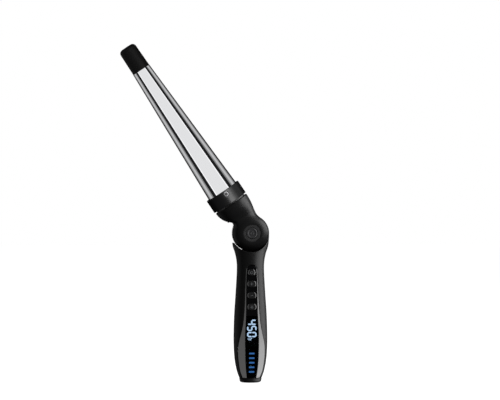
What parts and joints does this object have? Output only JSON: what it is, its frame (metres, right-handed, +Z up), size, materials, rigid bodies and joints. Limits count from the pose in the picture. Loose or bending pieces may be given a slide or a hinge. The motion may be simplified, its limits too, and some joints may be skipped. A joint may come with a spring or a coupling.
{
  "type": "curling wand",
  "caption": "Curling wand with a tapered polished hot barrel and cool tip, on a head that folds about a round hinge on a handle with buttons and a display.",
  "frame": {"origin": "centre of the cord inlet, at the bottom of the handle", "axes": "+Z up along the handle, controls facing -Y, hinge axis along Y, head folding towards -X"},
  "size_m": [0.1488, 0.0374, 0.3371],
  "materials": {
    "matte_black": "matte",
    "satin_black": "satin",
    "gloss_black": "gloss",
    "tip_black": "satin",
    "polished_barrel": "polished",
    "smoked_window": "gloss",
    "figure_light": "lit",
    "blue_light": "lit",
    "button_rubber": "satin",
    "cap_metal": "satin",
    "steel": "satin",
    "cast_aluminium": "cast",
    "brass": "satin",
    "bronze": "oiled",
    "ceramic": "glazed",
    "film": "gloss",
    "silicone": "matte",
    "board_green": "satin",
    "chip_black": "matte",
    "lead_sleeve": "braided",
    "wire_red": "satin",
    "glass_fibre": "filled",
    "capacitor_yellow": "gloss"
  },
  "bodies": {
    "handle": {"hinge_tongue": "glass_fibre", "hinge_bush": "bronze", "handle_shell_front": "matte_black", "handle_shell_rear": "matte_black", "handle_screws": "steel", "panel_bezel": "gloss_black", "button_fascia": "gloss_black", "display_window": "smoked_window", "display_module": "chip_black", "display_digits": "figure_light", "level_bars": "blue_light", "button_pad": "silicone", "control_board": "board_green", "control_chip": "chip_black", "power_board": "board_green", "triac": "chip_black", "heat_sink": "cast_aluminium", "film_capacitor": "capacitor_yellow", "line_fuse": "ceramic", "supply_wires": "wire_red", "hinge_wires": "lead_sleeve", "end_cap": "matte_black", "brush_contacts": "brass"},
    "head": {"cool_tip": "tip_black", "tip_insulator": "ceramic", "barrel": "polished_barrel", "heater_block_front": "cast_aluminium", "heater_block_rear": "cast_aluminium", "ceramic_heater": "ceramic", "heater_electrodes": "brass", "heater_film": "film", "heater_spring": "steel", "thermistor": "ceramic", "thermal_fuse": "ceramic", "heater_leads": "lead_sleeve", "barrel_base": "glass_fibre", "collar": "satin_black", "collar_screws": "steel", "head_shell_front": "matte_black", "head_shell_rear": "matte_black", "head_screws": "steel", "hinge_cap_front": "cap_metal", "hinge_cap_rear": "cap_metal", "hinge_bolt": "steel", "hinge_nut": "steel", "spring_washers": "steel", "friction_washers": "bronze"},
    "power_key": {"power_button": "button_rubber"},
    "plus_key": {"plus_button": "button_rubber"},
    "minus_key": {"minus_button": "button_rubber"},
    "mode_key": {"mode_button": "button_rubber"},
    "cord_swivel": {"cord_gland": "matte_black", "slip_rings": "brass", "gland_clip": "steel"}
  },
  "joints": [
    {"name": "head_fold", "type": "hinge", "parent": "handle", "child": "head", "pos_m": [0, 0, 0.149], "axis": [0, -1, 0], "range_deg": [-33.9, 56.1]},
    {"name": "cord_turn", "type": "hinge", "parent": "handle", "child": "cord_swivel", "pos_m": [0, 0, 0], "axis": [0, 0, 1], "continuous": true},
    {"name": "power_press", "type": "slide", "parent": "handle", "child": "power_key", "axis": [0, 1, 0], "range_m": [0, 0.0006], "stiffness_N_per_m": 700, "springref_m": -0.0012},
    {"name": "plus_press", "type": "slide", "parent": "handle", "child": "plus_key", "axis": [0, 1, 0], "range_m": [0, 0.0006], "stiffness_N_per_m": 700, "springref_m": -0.0012},
    {"name": "minus_press", "type": "slide", "parent": "handle", "child": "minus_key", "axis": [0, 1, 0], "range_m": [0, 0.0006], "stiffness_N_per_m": 700, "springref_m": -0.0012},
    {"name": "mode_press", "type": "slide", "parent": "handle", "child": "mode_key", "axis": [0, 1, 0], "range_m": [0, 0.0006], "stiffness_N_per_m": 700, "springref_m": -0.0012}
  ]
}
